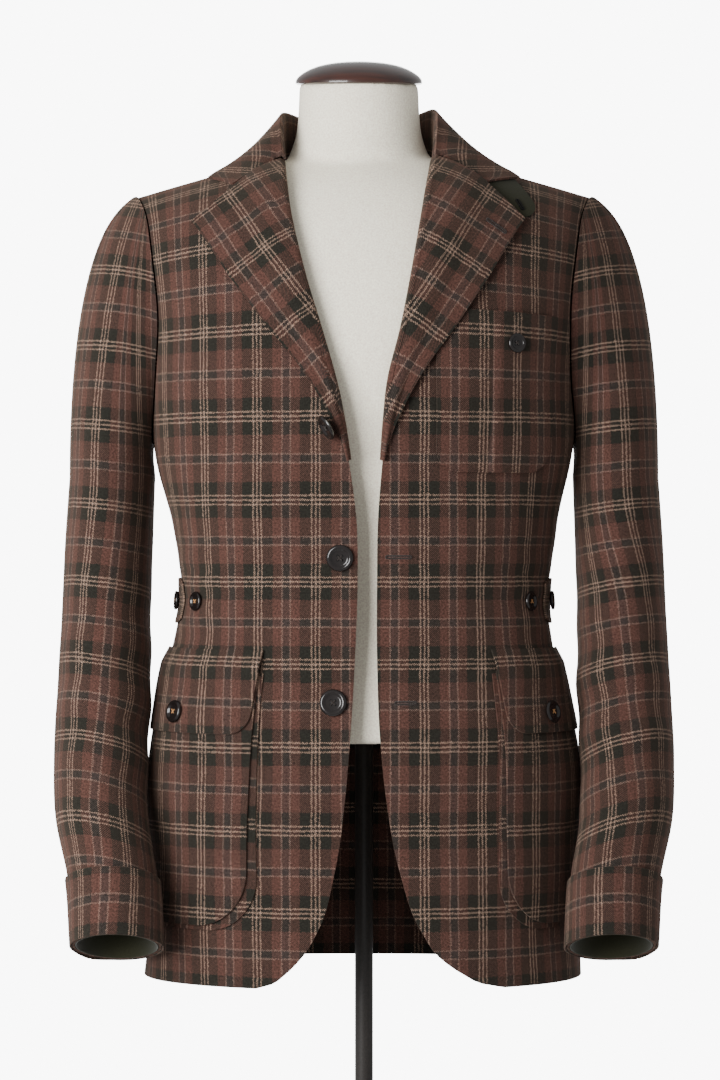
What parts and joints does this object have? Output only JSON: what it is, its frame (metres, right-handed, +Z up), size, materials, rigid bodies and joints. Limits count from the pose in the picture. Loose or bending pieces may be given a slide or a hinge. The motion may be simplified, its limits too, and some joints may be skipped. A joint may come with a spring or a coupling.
{
  "type": "safari jacket on dress form",
  "caption": "Open plaid wool safari jacket with notched lapels, bellows flap pockets and turned-back cuffs, worn on a limbless dress form with a wooden neck cap and a round-footed stand.",
  "frame": {"origin": "middle of the underside of the stand's round foot", "axes": "+Z up, the wearer faces -Y, the wearer's left is at +X"},
  "size_m": [0.538, 0.3209, 0.9537],
  "materials": {
    "plaid_wool": "brushed twill in a rust, charcoal and cream check",
    "olive_cloth": "plain olive wool",
    "horn": "polished dark horn",
    "linen": "undyed linen cover",
    "polished_wood": "polished dark wood",
    "painted_steel": "satin dark paint"
  },
  "bodies": {
    "root": {"front_right": "plaid_wool", "front_left": "plaid_wool", "back": "plaid_wool", "sleeve_right": "plaid_wool", "sleeve_left": "plaid_wool", "cuff_right": "plaid_wool", "cuff_left": "plaid_wool", "collar": "plaid_wool", "lapel_right": "plaid_wool", "lapel_left": "plaid_wool", "breast_pocket": "plaid_wool", "pocket_right": "plaid_wool", "pocket_left": "plaid_wool", "gusset_right": "plaid_wool", "gusset_left": "plaid_wool", "flap_right": "plaid_wool", "flap_left": "plaid_wool", "waist_tab_right": "plaid_wool", "waist_tab_left": "plaid_wool", "cuff_lining_right": "olive_cloth", "cuff_lining_left": "olive_cloth", "throat_tab": "olive_cloth", "front_button_top": "horn", "front_button_middle": "horn", "front_button_bottom": "horn", "flap_button_right": "horn", "flap_button_left": "horn", "tab_button_front_right": "horn", "tab_button_front_left": "horn", "tab_button_side_right": "horn", "tab_button_side_left": "horn", "breast_button": "horn", "form_body": "linen", "form_cap": "polished_wood", "stand_pole": "painted_steel", "stand_base": "painted_steel"}
  },
  "joints": []
}
